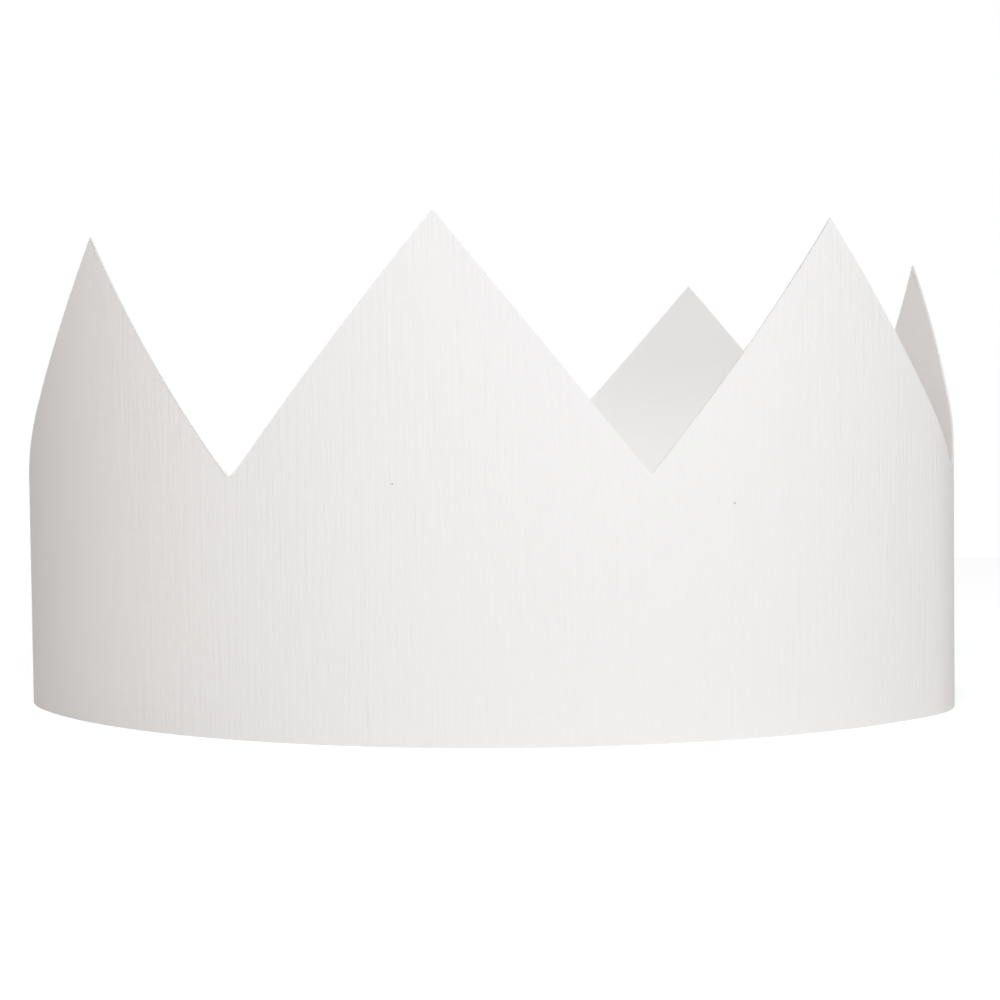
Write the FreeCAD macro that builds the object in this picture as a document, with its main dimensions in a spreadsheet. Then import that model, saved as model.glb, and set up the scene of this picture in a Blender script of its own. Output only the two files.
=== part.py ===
import FreeCAD, Part
import math
import os
from FreeCAD import Vector

Vector2d = FreeCAD.Base.Vector2d

# Paper crown: one strip of card, cut to a zigzag along its top, bent into a ring and glued
# to itself over a tab at its back left. Lengths are in millimetres and turns in degrees.
# The ring stands on its bottom edge at z = 0, with the middle of its footprint at the origin
# and its broad front panel facing -Y.

SIZES = (
    ("strip_length", 600.0, "once round the ring, along the outer face"),
    ("strip_height", 104.0, "from the bottom edge to the tips"),
    ("valley_height", 52.5, "from the bottom edge to where two flanks would meet"),
    ("peak_count", 7, "peaks, evenly spaced from the seam"),
    ("valley_round", 0.9, "half width of the rounded cut at the foot of a valley"),
    ("card_thickness", 0.4, "one layer of card"),
    ("front_turn", 104.0, "how far the broad front panel turns"),
    ("front_right_turn", 42.0, "how far the bend right of the front turns"),
    ("right_turn", 17.0, "how far the flat right panel turns"),
    ("back_right_turn", 63.0, "how far the bend behind the right panel turns"),
    ("back_turn", 29.0, "how far the flat back panel turns"),
    ("front_right_radius", 34.0, "outer radius of the bend right of the front"),
    ("back_right_radius", 49.0, "outer radius of the bend behind the right panel"),
    ("left_radius", 57.0, "outer radius of the wide bend at the left"),
    ("seam_place", 2.5, "from the end of the back panel on to the seam"),
    ("seam_gap", 0.3, "between the two ends of the strip"),
    ("tab_length", 15.0, "glue tab past the seam, inside the ring"),
    ("tab_height", 50.0, "glue tab above the bottom edge"),
    ("tab_root", 2.0, "stretch of the inner layer before the seam"),
)

# Both layers of card are rolled this much too long at the bottom, then trimmed level together.
TRIM = 1.0


def size_sheet(doc):
    """The driving dimensions, one row each, with an alias on every value."""
    sheet = doc.addObject("Spreadsheet::Sheet", "Sizes")
    for row, (name, value, meaning) in enumerate(SIZES, start=1):
        sheet.set(f"A{row}", name)
        sheet.set(f"B{row}", str(value))
        sheet.setAlias(f"B{row}", name)
        sheet.set(f"C{row}", meaning)
    doc.recompute()
    return sheet


class Bend:
    """One round stretch of the ring seen from above, from one heading to the next."""

    def __init__(self, start, radius, heading_in, heading_out, along):
        self.centre = start + Vector(-math.sin(heading_in), math.cos(heading_in), 0) * radius
        self.radius = radius
        self.heading_in = heading_in
        self.heading_out = heading_out
        self.along = along
        self.end = along + radius * (heading_out - heading_in)

    def angle(self, along):
        """Angle round the centre, from +X, at this length along the ring."""
        return self.heading_in - math.pi / 2 + (along - self.along) / self.radius

    def cylinder(self, inset):
        """The upright cylinder that a layer follows, this far inside the outer face."""
        surface = Part.Cylinder()
        surface.Center = self.centre
        surface.Radius = self.radius - inset
        return surface


def travel(heading_in, heading_out):
    """Way made in X and in Y, and length used, per millimetre of a bend's radius."""
    return Vector(
        math.sin(heading_out) - math.sin(heading_in),
        math.cos(heading_in) - math.cos(heading_out),
        heading_out - heading_in,
    )


def bends_of_ring(size):
    """The six tangent stretches of the ring, three panels and the three bends between them.

    The bends have set radii. The radii of the panels follow from the strip's length and from
    the ring closing on itself: three equations that are linear in the three radii.
    """
    turns = [size.front_turn, size.front_right_turn, size.right_turn]
    turns += [size.back_right_turn, size.back_turn]
    turns.append(360 - sum(turns))
    headings = [-math.radians(size.front_turn) / 2]
    for turn in turns:
        headings.append(headings[-1] + math.radians(turn))
    steps = [travel(*pair) for pair in zip(headings, headings[1:])]
    front, front_right, right, back_right, back, left = steps
    rest = Vector(0, 0, size.strip_length) - front_right * size.front_right_radius
    rest = rest - back_right * size.back_right_radius - left * size.left_radius
    whole = front.dot(right.cross(back))
    radii = [
        rest.dot(right.cross(back)) / whole,
        size.front_right_radius,
        front.dot(rest.cross(back)) / whole,
        size.back_right_radius,
        front.dot(right.cross(rest)) / whole,
        size.left_radius,
    ]
    start = Vector(0, 0, 0)
    middle = footprint_middle(chain_of_bends(start, radii, headings, steps))
    return chain_of_bends(start - middle, radii, headings, steps)


def chain_of_bends(start, radii, headings, steps):
    """Bends laid end to end from this point on."""
    bends = []
    along = 0.0
    for radius, step, heading_in, heading_out in zip(radii, steps, headings, headings[1:]):
        bends.append(Bend(start, radius, heading_in, heading_out, along))
        start = start + Vector(step.x, step.y, 0) * radius
        along = bends[-1].end
    return bends


def footprint_middle(bends):
    """Middle of the box round the ring, from its outermost points to each side."""
    reach = []
    for side in range(4):
        facing = side * math.pi / 2
        for bend in bends:
            turned = (facing + math.pi / 2 - bend.heading_in) % (2 * math.pi)
            if turned <= bend.heading_out - bend.heading_in:
                outward = Vector(math.cos(facing), math.sin(facing), 0)
                reach.append(bend.centre + outward * bend.radius)
                break
    return Vector((reach[0].x + reach[2].x) / 2, (reach[1].y + reach[3].y) / 2, 0)


class Zigzag:
    """Cut top edge of the flat strip, with a valley at the seam and after every peak."""

    def __init__(self, size):
        self.pitch = size.strip_length / size.peak_count
        self.foot = size.valley_height
        self.slope = (size.strip_height - size.valley_height) / (self.pitch / 2)
        self.round = size.valley_round

    def height(self, from_seam):
        """Height of the cut edge, a parabola across the foot of each valley."""
        off_valley = abs((from_seam + self.pitch / 2) % self.pitch - self.pitch / 2)
        if off_valley < self.round:
            return self.foot + self.slope * (self.round + off_valley ** 2 / self.round) / 2
        return self.foot + self.slope * off_valley

    def corners(self, first, last):
        """Tips and ends of the rounded feet between two places, counted from the seam."""
        places = []
        for step in range(math.floor(first / self.pitch), math.ceil(last / self.pitch) + 1):
            valley = step * self.pitch
            places += [valley - self.round, valley + self.round, valley + self.pitch / 2]
        return [place for place in places if first < place < last]

    def between(self, start, end):
        """Middle pole of the edge between two neighbouring corners: straight, or a parabola."""
        middle = (start + end) / 2
        swing = (self.height(start) + self.height(end)) / 2 - self.height(middle)
        return middle, self.height(middle) - swing


class LevelEdge:
    """Plain top edge of the glue tab."""

    def __init__(self, height):
        self.level = height

    def height(self, from_seam):
        return self.level

    def corners(self, first, last):
        return []

    def between(self, start, end):
        return (start + end) / 2, self.level


def rolled_face(bend, inset, seam, first, last, top_edge):
    """Part of the flat strip between two places, laid on one bend of the ring."""
    surface = bend.cylinder(inset)

    def on_bend(from_seam, height):
        return Vector2d(bend.angle(seam + from_seam), height)

    def straight(start, end):
        return Part.Geom2d.Line2dSegment(on_bend(*start), on_bend(*end)).toShape(surface)

    places = [first] + top_edge.corners(first, last) + [last]
    edges = [straight((first, -TRIM), (last, -TRIM))]
    edges.append(straight((last, -TRIM), (last, top_edge.height(last))))
    for end, start in zip(places[::-1], places[-2::-1]):
        curve = Part.Geom2d.BezierCurve2d()
        poles = [(end, top_edge.height(end)), top_edge.between(start, end)]
        poles.append((start, top_edge.height(start)))
        curve.setPoles([on_bend(*pole) for pole in poles])
        edges.append(curve.toShape(surface))
    edges.append(straight((first, top_edge.height(first)), (first, -TRIM)))
    return Part.Face(surface, Part.Wire(edges))


def rolled_strip(bends, inset, seam, first, last, top_edge):
    """The flat strip between two places, counted from the seam, laid round the ring."""
    ring = bends[-1].end
    faces = []
    for lap in (-1, 0, 1):
        for bend in bends:
            shift = lap * ring - seam
            start = max(first, bend.along + shift)
            end = min(last, bend.end + shift)
            if end - start > 1e-6:
                faces.append(rolled_face(bend, inset, seam - lap * ring, start, end, top_edge))
    shell = Part.Shell(faces)
    shell.sewShape()
    return shell


def layer_of_card(doc, name, shell):
    """A rolled face and, inside it, the card's thickness."""
    face = doc.addObject("Part::Feature", f"{name}_face")
    face.Shape = shell
    layer = doc.addObject("Part::Offset", name)
    layer.Source = face
    layer.Fill = True
    layer.setExpression("Value", "-Sizes.card_thickness")
    return layer


def trimmings(doc, size):
    """A slab under the ring, wide enough to trim off whatever reaches below z = 0."""
    slab = doc.addObject("Part::Box", "trimmings")
    slab.setExpression("Length", "Sizes.strip_length")
    slab.setExpression("Width", "Sizes.strip_length")
    slab.Height = 2 * TRIM
    slab.Placement.Base = Vector(-size.strip_length / 2, -size.strip_length / 2, -2 * TRIM)
    return slab


def crown(doc, size):
    """The wall with its peaks and the glue tab inside it: one sheet, joined at the seam."""
    bends = bends_of_ring(size)
    seam = bends[-1].along + size.seam_place
    wall_end = size.strip_length - size.seam_gap
    wall = rolled_strip(bends, 0, seam, 0, wall_end, Zigzag(size))
    tab_start = -size.seam_gap - size.tab_root
    tab_edge = LevelEdge(size.tab_height)
    tab = rolled_strip(bends, size.card_thickness, seam, tab_start, size.tab_length, tab_edge)
    sheet = doc.addObject("Part::Fuse", "sheet")
    sheet.Base = layer_of_card(doc, "wall", wall)
    sheet.Tool = layer_of_card(doc, "glue_tab", tab)
    trimmed = doc.addObject("Part::Cut", "crown")
    trimmed.Base = sheet
    trimmed.Tool = trimmings(doc, size)
    trimmed.Label = "crown"
    return trimmed


def check(doc, parts):
    """Stop on a failed object or a shape that isn't one sound solid."""
    for thing in doc.Objects:
        if "Invalid" in thing.State or "Error" in thing.State:
            raise RuntimeError(f"{thing.Name} failed: {thing.State}")
    for part in parts:
        if part.Shape.isNull() or not part.Shape.isValid() or len(part.Shape.Solids) != 1:
            raise RuntimeError(f"{part.Label} is not one sound solid")


def main():
    doc = FreeCAD.newDocument("paper_crown")
    size = size_sheet(doc)
    parts = [crown(doc, size)]
    doc.recompute()
    check(doc, parts)
    os.makedirs("parts", exist_ok=True)
    for part in parts:
        part.Shape.exportStep(f"parts/{part.Label}.step")


main()
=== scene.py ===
import math

import bmesh
import bpy
from mathutils import Matrix, Vector


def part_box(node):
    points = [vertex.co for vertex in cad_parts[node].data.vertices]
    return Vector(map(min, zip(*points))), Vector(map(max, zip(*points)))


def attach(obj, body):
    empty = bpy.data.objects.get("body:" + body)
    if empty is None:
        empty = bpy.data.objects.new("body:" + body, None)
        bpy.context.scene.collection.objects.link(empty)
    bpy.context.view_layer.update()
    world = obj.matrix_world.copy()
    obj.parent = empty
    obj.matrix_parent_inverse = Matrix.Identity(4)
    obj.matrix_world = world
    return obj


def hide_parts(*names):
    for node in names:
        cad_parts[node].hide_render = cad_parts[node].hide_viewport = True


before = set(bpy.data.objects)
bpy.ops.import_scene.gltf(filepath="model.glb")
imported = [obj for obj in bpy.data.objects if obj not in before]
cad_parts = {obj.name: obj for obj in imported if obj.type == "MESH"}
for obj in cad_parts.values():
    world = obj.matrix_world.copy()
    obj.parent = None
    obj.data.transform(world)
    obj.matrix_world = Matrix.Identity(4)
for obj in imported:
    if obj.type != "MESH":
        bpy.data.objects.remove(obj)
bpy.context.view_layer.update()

# Paper crown: one strip of white card with seven cut peaks, bent into a ring and glued over a
# tab at its back left. Lengths on the card are in millimetres, as in the part's source, and
# turns are in degrees. The floor and the lamps are placed in metres.
MM = 0.001
STRIP_LENGTH = 600.0
STRIP_HEIGHT = (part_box("crown")[1].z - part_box("crown")[0].z) / MM
VALLEY_HEIGHT = 52.5
PEAKS = 7
PITCH = STRIP_LENGTH / PEAKS
CARD = 0.4
SEAM_GAP = 0.3
SEAM_PLACE = 2.5
TAB_LENGTH = 15.0
TAB_HEIGHT = 50.0
TAB_ROOT = 2.0

# The ring from above, six stretches from the left end of the front: broad panels, whose radii
# follow from the strip's length and from the ring closing, and the bends between them.
TURNS = {"front": 104.0, "front_right": 42.0, "right": 17.0, "back_right": 63.0, "back": 29.0}
TURNS["left"] = 360.0 - sum(TURNS.values())
BEND_RADII = {"front_right": 34.0, "back_right": 49.0, "left": 57.0}
OUTLINE_STEPS = 3600

# The card was cut by hand: where each tip and valley lies off the even zigzag, along the strip
# and up. Peaks are counted from the seam, and a valley is named after the peak that follows it.
TIP_STRAYS = {
    "left_back": (-0.6, -0.6),
    "left": (1.7, 0.5),
    "front_left": (0.6, 0.6),
    "front_right": (-1.1, 0.5),
    "back_right": (0.2, -1.2),
    "back": (-1.2, -0.1),
    "back_left": (0.0, 0.0),
}
VALLEY_STRAYS = {
    "left_back": (0.0, 0.0),
    "left": (-1.5, -0.6),
    "front_left": (-0.6, -0.3),
    "front_right": (0.3, 0.1),
    "back_right": (0.3, 0.4),
    "back": (-1.6, 0.6),
    "back_left": (1.7, 1.6),
}

# Half width of the rounded foot of a valley, where it isn't the plain one.
PLAIN_ROUND = 0.9
VALLEY_ROUNDS = {"front_left": 1.6, "front_right": 0.6}

# Height that a bowed cut loses halfway up, before and after its tip.
CUT_BOWS = {"left": (2.2, 1.3), "front_right": (0.9, 0.4), "back_right": (-0.3, 2.0)}

# How far the wall leans outwards per millimetre of height, as waves round the ring that start
# at the front panel's left end: cosine and sine, once round and twice round.
LEAN_ONCE = (0.0008, -0.0022)
LEAN_TWICE = (0.0043, -0.0008)

# The back peak nods inwards by this angle, over a bend that starts above the wall's top.
BACK_PEAK = PITCH * (list(TIP_STRAYS).index("back") + 0.5)
BACK_PEAK_NOD = 9.0
CURL_FOOT = 58.0
CURL_BEND = 24.0

# Mesh: the widest column of the wall, the rows of each layer, and how far the tab stands off
# the wall's inner face.
COLUMN_SPACING = 1.2
FOOT_STEPS = 5
WALL_ROWS = 24
TAB_ROWS = 12
TAB_COLUMNS = 24
TAB_CLEARANCE = 0.01
UV_PER_METRE = 10

# The card's three materials by their slots: outer face, inner face and cut edge.
OUTER, INNER, EDGE = range(3)
CARD_COLOUR = (0.89, 0.885, 0.88)
# The cut edge's colour is partly the bare fibres' own grey and partly painted shade of their
# self-shadowing.
EDGE_GREY_AND_SHADE = (0.66, 0.652, 0.645)
EDGE_SHADE = 0.94
EDGE_FIBRES = 1500.0
EDGE_DEPTH = 0.0001
OUTER_EMBOSS = 0.5
INNER_EMBOSS = 0.15

# The card's grain: how fine each noise is along and up the strip, per metre, and its detail.
RIBS = (900, 40, 3)
THREADS = (300, 900, 2)
BROAD = (160, 14, 1)
THREAD_WEIGHT = 0.12
BROAD_WEIGHT = 0.5
GRAIN_ROUGHNESS = 0.7
GRAIN_DEPTH = 0.00036
TONE_RANGE = (0.4, 1.4)
TONE_SHADE = 0.012

# Two specks in the card's outer face: from the seam, up from the bottom, and radius.
SPECKS = ((206.5, 51.4, 0.2), (275.1, 46.9, 0.21))
SPECK_COLOUR = (0.55, 0.53, 0.51)

FLOOR_REACH = 0.6
FLOOR_SHADE = 0.45
FLOOR_GLOW = 0.6
ROOM_COLOUR = (1.0, 0.93, 0.86)
ROOM_STRENGTH = 0.01

# Soft boxes, in metres and watts. Azimuth 0 is in front, and rises to the right.
LAMP_AIM = Vector((0, 0, 0.05))
SOFT_BOXES = {
    "key": {
        "azimuth": 14, "elevation": 40, "distance": 1.2, "side": 0.6,
        "power": 9.4, "colour": (0.79, 0.9, 1.0),
    },
    "fill": {
        "azimuth": -15, "elevation": 35, "distance": 1.4, "side": 0.6,
        "power": 7.9, "colour": (1.0, 0.81, 0.66),
    },
    "top": {
        "azimuth": 0, "elevation": 90, "distance": 2.0, "side": 1.6,
        "power": 8.5, "colour": (0.69, 0.87, 1.0),
    },
    "right": {
        "azimuth": 85, "elevation": 25, "distance": 2.0, "side": 1.2,
        "power": 13.8, "colour": (1.0, 0.87, 0.76),
    },
    "back_left": {
        "azimuth": -150, "elevation": 20, "distance": 2.0, "side": 1.2,
        "power": 28.7, "colour": (1.0, 0.96, 0.94),
    },
}

# Camera, as the photograph has it: where it stands, and how it is turned from facing the
# crown's axis. Its focal length is in pixels of a square photograph.
CAMERA_DISTANCE = 414.63
CAMERA_HEIGHT = 54.59
CAMERA_AZIMUTH = 7.093
CAMERA_TURN = -0.669
CAMERA_DIP = 1.103
CAMERA_ROLL = -0.558
FOCAL_PIXELS = 1736.2
PHOTO_SIDE = 1000.0
SENSOR_WIDTH = 36


class Bend:
    """One round stretch of the ring seen from above."""

    def __init__(self, start, radius, heading_in, heading_out, along):
        self.centre = start + Vector((-math.sin(heading_in), math.cos(heading_in))) * radius
        self.radius = radius
        self.heading = heading_in
        self.along = along
        self.end = along + radius * (heading_out - heading_in)

    def at(self, along):
        """Place on the outer face and the way outwards there."""
        angle = self.heading - math.pi / 2 + (along - self.along) / self.radius
        outward = Vector((math.cos(angle), math.sin(angle)))
        return self.centre + outward * self.radius, outward


class Ring:
    """The card's outer face from above, by length along it from the front panel's left end."""

    def __init__(self):
        headings = [-math.radians(TURNS["front"]) / 2]
        for turn in TURNS.values():
            headings.append(headings[-1] + math.radians(turn))
        spans = dict(zip(TURNS, zip(headings, headings[1:])))
        steps = {name: self.travel(*span) for name, span in spans.items()}
        rest = Vector((0, 0, STRIP_LENGTH))
        for name, radius in BEND_RADII.items():
            rest -= steps[name] * radius
        front, right, back = steps["front"], steps["right"], steps["back"]
        whole = front.dot(right.cross(back))
        radii = dict(BEND_RADII)
        radii["front"] = rest.dot(right.cross(back)) / whole
        radii["right"] = front.dot(rest.cross(back)) / whole
        radii["back"] = front.dot(right.cross(rest)) / whole
        self.bends = self.chain(Vector((0, 0)), radii, spans, steps)
        marks = [STRIP_LENGTH * step / OUTLINE_STEPS for step in range(OUTLINE_STEPS)]
        places = [self.at(mark)[0] for mark in marks]
        middle = Vector((self.middle(p.x for p in places), self.middle(p.y for p in places)))
        self.bends = self.chain(-middle, radii, spans, steps)
        self.seam = self.bends[-1].along + SEAM_PLACE

    @staticmethod
    def travel(heading_in, heading_out):
        """Way made in X and in Y, and length used, per millimetre of a bend's radius."""
        across = math.sin(heading_out) - math.sin(heading_in)
        back = math.cos(heading_in) - math.cos(heading_out)
        return Vector((across, back, heading_out - heading_in))

    @staticmethod
    def middle(values):
        """Halfway between the least and the greatest."""
        values = list(values)
        return (min(values) + max(values)) / 2

    @staticmethod
    def chain(start, radii, spans, steps):
        """Bends laid end to end from this point on."""
        bends = []
        along = 0.0
        for name in TURNS:
            bends.append(Bend(start, radii[name], *spans[name], along))
            start = start + steps[name].xy * radii[name]
            along = bends[-1].end
        return bends

    def at(self, along):
        """Place on the outer face and the way outwards there."""
        along %= STRIP_LENGTH
        for bend in self.bends:
            if along <= bend.end:
                return bend.at(along)
        return self.bends[-1].at(along)


class Zigzag:
    """Cut top edge of the flat strip, by length from the seam."""

    def __init__(self):
        self.valleys = []
        self.tips = []
        for step, name in enumerate(TIP_STRAYS):
            off, up = VALLEY_STRAYS[name]
            foot = VALLEY_ROUNDS.get(name, PLAIN_ROUND)
            self.valleys.append((step * PITCH + off, VALLEY_HEIGHT + up, foot))
            off, up = TIP_STRAYS[name]
            self.tips.append(((step + 0.5) * PITCH + off, STRIP_HEIGHT + up))
        place, low, foot = self.valleys[0]
        self.valleys.append((place + STRIP_LENGTH, low, foot))

    def flank(self, along):
        """Height of the cuts, before the valleys' feet are rounded."""
        for name, tip, before, after in zip(TIP_STRAYS, self.tips, self.valleys, self.valleys[1:]):
            if along <= after[0]:
                past_tip = along > tip[0]
                low = after if past_tip else before
                share = (along - low[0]) / (tip[0] - low[0])
                bow = CUT_BOWS.get(name, (0.0, 0.0))[past_tip]
                return low[1] + (tip[1] - low[1]) * share - 4 * bow * share * (1 - share)
        return self.valleys[-1][1]

    def height(self, along):
        """Height of the cut edge, a parabola across the foot of each valley."""
        for place, low, foot in self.valleys:
            if abs(along - place) < foot:
                share = (along - place + foot) / (2 * foot)
                before = self.flank((place - foot) % STRIP_LENGTH)
                after = self.flank((place + foot) % STRIP_LENGTH)
                ends = (1 - share) ** 2 * before + share ** 2 * after
                return ends + 2 * share * (1 - share) * low
        return self.flank(along)

    def columns(self, first, last):
        """Where the mesh has its columns: every tip, the rounded feet, and evenly between them."""
        marks = {first, last}
        for place, low, foot in self.valleys:
            steps = range(-FOOT_STEPS, FOOT_STEPS + 1)
            marks |= {place + foot * step / FOOT_STEPS for step in steps}
        marks |= {place for place, top in self.tips}
        marks = sorted(mark for mark in marks if first <= mark <= last)
        columns = [marks[0]]
        for start, end in zip(marks, marks[1:]):
            parts = max(1, math.ceil((end - start) / COLUMN_SPACING))
            columns += [start + (end - start) * part / parts for part in range(1, parts + 1)]
        return columns


def lean(along):
    """How far the wall leans outwards, per millimetre of height, round the ring."""
    turn = 2 * math.pi * along / STRIP_LENGTH
    once = LEAN_ONCE[0] * math.cos(turn) + LEAN_ONCE[1] * math.sin(turn)
    return once + LEAN_TWICE[0] * math.cos(2 * turn) + LEAN_TWICE[1] * math.sin(2 * turn)


def curl(from_seam, height):
    """How far the back peak nods inwards: it bends over gently above the wall's top."""
    off_peak = abs(from_seam - BACK_PEAK) / PITCH
    if off_peak >= 1:
        return 0.0
    above = max(0.0, height - CURL_FOOT)
    bent = min(above, CURL_BEND)
    reach = bent ** 2 / (2 * CURL_BEND) + above - bent
    return math.tan(math.radians(BACK_PEAK_NOD)) * reach * math.cos(off_peak * math.pi / 2) ** 2


def on_card(ring, from_seam, height, inset):
    """Place in metres of a point of the flat strip, this far inside its outer face."""
    along = ring.seam + from_seam
    place, outward = ring.at(along)
    place = place + outward * (lean(along) * height - curl(from_seam, height) - inset)
    return Vector((place.x, place.y, height)) * MM


def layer(shape, uv, ring, columns, top, inset, rows):
    """One layer of card from z = 0 up to its cut edge: both faces and the cut edges between."""
    sides = []
    for depth in (inset, inset + CARD):
        grid = []
        for column in columns:
            reach = top(column)
            line = []
            for row in range(rows + 1):
                height = reach * row / rows
                vert = shape.verts.new(on_card(ring, column, height, depth))
                line.append((vert, column, height))
            grid.append(line)
        sides.append(grid)
    outer, inner = sides

    def face(corners, slot):
        made = shape.faces.new([corner[0] for corner in corners])
        made.material_index = slot
        made.smooth = slot != EDGE
        for loop, corner in zip(made.loops, corners):
            loop[uv].uv = Vector(corner[1:]) * MM * UV_PER_METRE

    for before in range(len(columns) - 1):
        after = before + 1
        for row in range(rows):
            low = (outer[before][row], outer[after][row])
            high = (outer[after][row + 1], outer[before][row + 1])
            face(low + high, OUTER)
            low = (inner[after][row], inner[before][row])
            high = (inner[before][row + 1], inner[after][row + 1])
            face(low + high, INNER)
        face((outer[before][-1], outer[after][-1], inner[after][-1], inner[before][-1]), EDGE)
        face((outer[after][0], outer[before][0], inner[before][0], inner[after][0]), EDGE)
    for row in range(rows):
        face((outer[0][row + 1], inner[0][row + 1], inner[0][row], outer[0][row]), EDGE)
        face((outer[-1][row], inner[-1][row], inner[-1][row + 1], outer[-1][row + 1]), EDGE)


def card_mesh():
    """The whole sheet: the wall with its peaks, and the glue tab inside it at the seam."""
    ring = Ring()
    zigzag = Zigzag()
    shape = bmesh.new()
    uv = shape.loops.layers.uv.new("flat_card")
    wall = zigzag.columns(0.0, STRIP_LENGTH - SEAM_GAP)
    layer(shape, uv, ring, wall, zigzag.height, 0.0, WALL_ROWS)
    tab_start = -SEAM_GAP - TAB_ROOT
    span = TAB_LENGTH - tab_start
    tab = [tab_start + span * step / TAB_COLUMNS for step in range(TAB_COLUMNS + 1)]
    layer(shape, uv, ring, tab, lambda column: TAB_HEIGHT, CARD + TAB_CLEARANCE, TAB_ROWS)
    for edge in shape.edges:
        if any(not made.smooth for made in edge.link_faces):
            edge.smooth = False
    mesh = bpy.data.meshes.new("crown_card")
    shape.to_mesh(mesh)
    shape.free()
    return mesh


def opaque(colour):
    """A colour with full alpha, as sockets take it."""
    return tuple(colour) + (1,)


def node(tree, kind, **settings):
    """A shader node with these input values; names that aren't inputs are its own settings."""
    made = tree.nodes.new(kind)
    for name, value in settings.items():
        if name in made.inputs:
            made.inputs[name].default_value = value
        else:
            setattr(made, name, value)
    return made


def computed(tree, operation, *values):
    """Output of a maths node; each value is a number or the output of another node."""
    made = node(tree, "ShaderNodeMath", operation=operation)
    for socket, value in zip(made.inputs, values):
        if isinstance(value, (int, float)):
            socket.default_value = value
        else:
            tree.links.new(value, socket)
    return made.outputs[0]


def new_material(name, roughness, specular):
    """A new material, with its node tree and its Principled shader."""
    material = bpy.data.materials.new(name)
    material.use_nodes = True
    tree = material.node_tree
    shader = tree.nodes["Principled BSDF"]
    shader.inputs["Roughness"].default_value = roughness
    shader.inputs["Specular IOR Level"].default_value = specular
    return material, tree, shader


def card_material(name, emboss, specks):
    """White card: fine ribs up the strip, faint threads across them, and specks of dirt."""
    material, tree, shader = new_material(name, roughness=0.85, specular=0.2)
    link = tree.links.new
    flat = node(tree, "ShaderNodeUVMap", uv_map="flat_card")

    def streaks(along, up, detail):
        """Noise stretched one way over the flat card; the scales are per metre of card."""
        stretch = node(tree, "ShaderNodeMapping")
        scale = (along / UV_PER_METRE, up / UV_PER_METRE, 1)
        stretch.inputs["Scale"].default_value = scale
        link(flat.outputs["UV"], stretch.inputs["Vector"])
        noise = node(
            tree, "ShaderNodeTexNoise", Scale=1.0, Detail=detail, Roughness=GRAIN_ROUGHNESS
        )
        link(stretch.outputs["Vector"], noise.inputs["Vector"])
        return noise.outputs["Fac"]

    weave = computed(tree, "MULTIPLY_ADD", streaks(*THREADS), THREAD_WEIGHT, streaks(*RIBS))
    bump = node(tree, "ShaderNodeBump", Strength=emboss, Distance=GRAIN_DEPTH)
    link(weave, bump.inputs["Height"])
    link(bump.outputs["Normal"], shader.inputs["Normal"])
    tone = computed(tree, "MULTIPLY_ADD", streaks(*BROAD), BROAD_WEIGHT, weave)
    ramp = node(tree, "ShaderNodeValToRGB")
    link(tone, ramp.inputs["Fac"])
    low, high = ramp.color_ramp.elements
    low.position, high.position = TONE_RANGE
    low.color = opaque(part * (1 - TONE_SHADE * emboss) for part in CARD_COLOUR)
    high.color = opaque(CARD_COLOUR)
    tint = ramp.outputs["Color"]
    for from_seam, height, radius in specks:
        off = node(tree, "ShaderNodeVectorMath", operation="DISTANCE")
        link(flat.outputs["UV"], off.inputs[0])
        off.inputs[1].default_value = Vector((from_seam, height, 0)) * MM * UV_PER_METRE
        reach = radius * MM * UV_PER_METRE
        inside = computed(tree, "LESS_THAN", off.outputs["Value"], reach)
        dirt = node(tree, "ShaderNodeMixRGB", Color2=opaque(SPECK_COLOUR))
        link(inside, dirt.inputs["Fac"])
        link(tint, dirt.inputs["Color1"])
        tint = dirt.outputs["Color"]
    link(tint, shader.inputs["Base Color"])
    return material


def edge_material():
    """The cut through the card: the bare fibres' own grey and painted shade of their
    self-shadowing.
    """
    material, tree, shader = new_material("cut_edge", roughness=0.95, specular=0.1)
    link = tree.links.new
    place = node(tree, "ShaderNodeTexCoord")
    fibres = node(tree, "ShaderNodeTexNoise", Scale=EDGE_FIBRES, Detail=2, Roughness=0.6)
    link(place.outputs["Object"], fibres.inputs["Vector"])
    bump = node(tree, "ShaderNodeBump", Strength=0.2, Distance=EDGE_DEPTH)
    link(fibres.outputs["Fac"], bump.inputs["Height"])
    link(bump.outputs["Normal"], shader.inputs["Normal"])
    ramp = node(tree, "ShaderNodeValToRGB")
    link(fibres.outputs["Fac"], ramp.inputs["Fac"])
    low, high = ramp.color_ramp.elements
    # Both ends of the ramp hold the edge's grey, which carries painted shade of the fibres'
    # self-shadowing.
    low.color = opaque(part * EDGE_SHADE for part in EDGE_GREY_AND_SHADE)
    high.color = opaque(EDGE_GREY_AND_SHADE)
    link(ramp.outputs["Color"], shader.inputs["Base Color"])
    return material


def seen_directly(tree):
    """1 for what the camera sees, also in glossy and clear surfaces, and 0 for the rest."""
    rays = node(tree, "ShaderNodeLightPath").outputs
    seen = computed(tree, "MAXIMUM", rays["Is Camera Ray"], rays["Is Glossy Ray"])
    return computed(tree, "MAXIMUM", seen, rays["Is Transmission Ray"])


def floor_mesh():
    """A level square under the crown."""
    mesh = bpy.data.meshes.new("floor")
    signs = [(-1, -1), (1, -1), (1, 1), (-1, 1)]
    corners = [(FLOOR_REACH * x, FLOOR_REACH * y, 0) for x, y in signs]
    mesh.from_pydata(corners, [], [(0, 1, 2, 3)])
    return mesh


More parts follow.
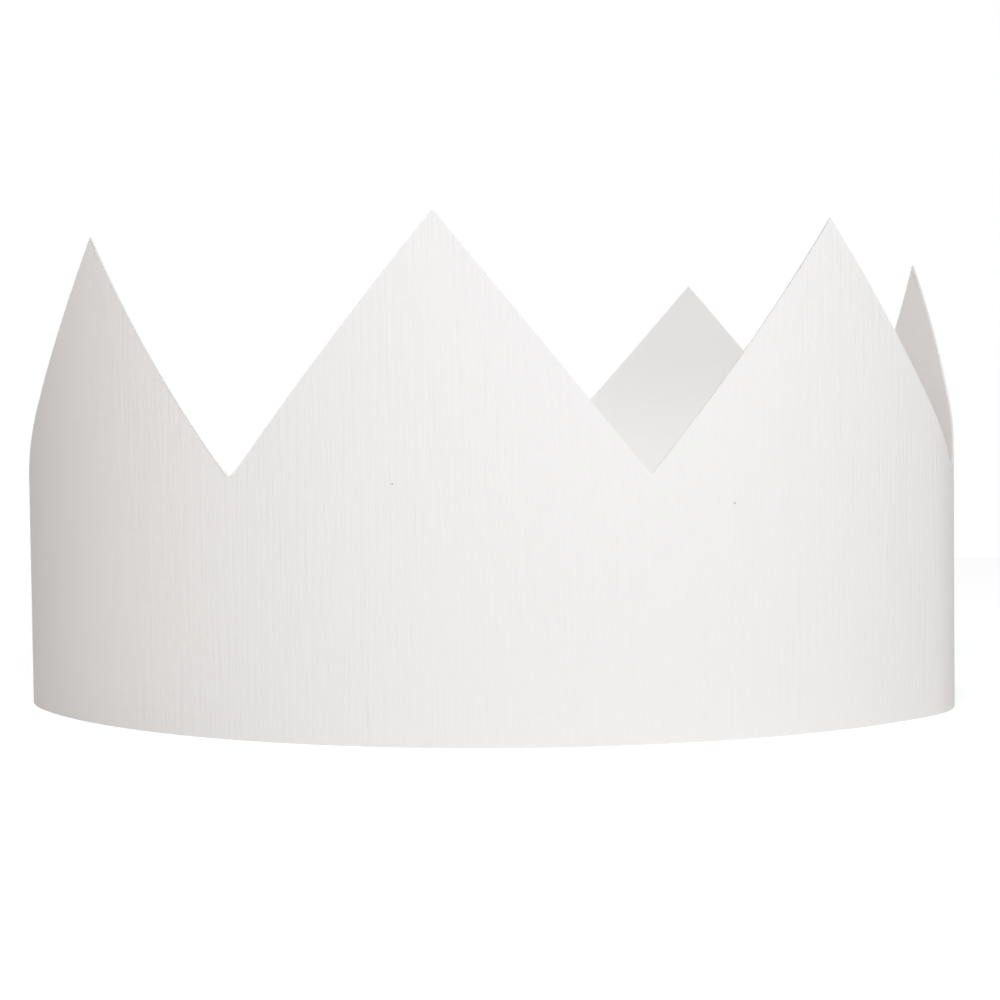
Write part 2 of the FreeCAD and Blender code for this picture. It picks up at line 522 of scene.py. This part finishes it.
def floor_material():
    """A pale floor that also glows to the camera, so that it is as white as the backdrop."""
    material, tree, shader = new_material("pale_floor", roughness=0.9, specular=0.0)
    shader.inputs["Base Color"].default_value = opaque([FLOOR_SHADE] * 3)
    white = node(tree, "ShaderNodeEmission")
    glow = computed(tree, "MULTIPLY", seen_directly(tree), FLOOR_GLOW)
    tree.links.new(glow, white.inputs["Strength"])
    both = node(tree, "ShaderNodeAddShader")
    tree.links.new(shader.outputs[0], both.inputs[0])
    tree.links.new(white.outputs[0], both.inputs[1])
    tree.links.new(both.outputs[0], tree.nodes["Material Output"].inputs["Surface"])
    return material


def light_room(world):
    """A white backdrop to the camera, and a dim, warm room to everything else."""
    world.use_nodes = True
    tree = world.node_tree
    tree.nodes.clear()
    warm = opaque(ROOM_COLOUR)
    room = node(tree, "ShaderNodeBackground", Color=warm, Strength=ROOM_STRENGTH)
    backdrop = node(tree, "ShaderNodeBackground", Color=(1, 1, 1, 1), Strength=1.0)
    mix = node(tree, "ShaderNodeMixShader")
    out = node(tree, "ShaderNodeOutputWorld")
    tree.links.new(seen_directly(tree), mix.inputs[0])
    tree.links.new(room.outputs[0], mix.inputs[1])
    tree.links.new(backdrop.outputs[0], mix.inputs[2])
    tree.links.new(mix.outputs[0], out.inputs["Surface"])


def direction(azimuth, elevation):
    """Way from the crown: azimuth 0 is in front, and rises to the right."""
    around = math.radians(azimuth)
    above = math.radians(elevation)
    level = math.cos(above)
    return Vector((math.sin(around) * level, -math.cos(around) * level, math.sin(above)))


def soft_box(name, azimuth, elevation, distance, side, power, colour):
    """A square lamp that faces the crown from this side."""
    light = bpy.data.lights.new(name, "AREA")
    light.shape = "SQUARE"
    light.size = side
    light.energy = power
    light.color = colour
    away = direction(azimuth, elevation)
    lamp = bpy.data.objects.new(name, light)
    lamp.location = LAMP_AIM + away * distance
    lamp.rotation_mode = "QUATERNION"
    lamp.rotation_quaternion = away.to_track_quat("Z", "Y")
    return lamp


def photo_camera():
    """The photograph's camera: turned, dipped and rolled at its stand."""
    facing = CAMERA_AZIMUTH + CAMERA_TURN
    ahead = -direction(facing, CAMERA_DIP)
    heading = math.radians(facing)
    rightwards = Vector((math.cos(heading), math.sin(heading), 0))
    upwards = rightwards.cross(ahead)
    roll = math.radians(CAMERA_ROLL)
    turned = rightwards * math.cos(roll) + upwards * math.sin(roll)
    raised = upwards * math.cos(roll) - rightwards * math.sin(roll)
    lens = bpy.data.cameras.new("camera")
    lens.sensor_width = SENSOR_WIDTH
    lens.lens = SENSOR_WIDTH * FOCAL_PIXELS / PHOTO_SIDE
    lens.clip_start = 0.01
    lens.clip_end = 50
    stand = direction(CAMERA_AZIMUTH, 0) * CAMERA_DISTANCE + Vector((0, 0, CAMERA_HEIGHT))
    axes = Matrix((turned, raised, -ahead)).transposed().to_4x4()
    camera = bpy.data.objects.new("camera", lens)
    camera.matrix_world = Matrix.Translation(stand * MM) @ axes
    return camera


scene = bpy.context.scene
place_in_scene = bpy.context.collection.objects.link

card = bpy.data.objects.new("crown_card", card_mesh())
place_in_scene(card)
card.data.materials.append(card_material("embossed_card", OUTER_EMBOSS, SPECKS))
card.data.materials.append(card_material("card_back", INNER_EMBOSS, ()))
card.data.materials.append(edge_material())
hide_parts("crown")
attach(card, "root")

floor = bpy.data.objects.new("floor", floor_mesh())
place_in_scene(floor)
floor.data.materials.append(floor_material())

scene.world = scene.world or bpy.data.worlds.new("studio")
light_room(scene.world)
for name, settings in SOFT_BOXES.items():
    place_in_scene(soft_box(name, **settings))
camera = photo_camera()
place_in_scene(camera)
scene.camera = camera
scene.view_settings.view_transform = "Standard"

bpy.context.view_layer.update()
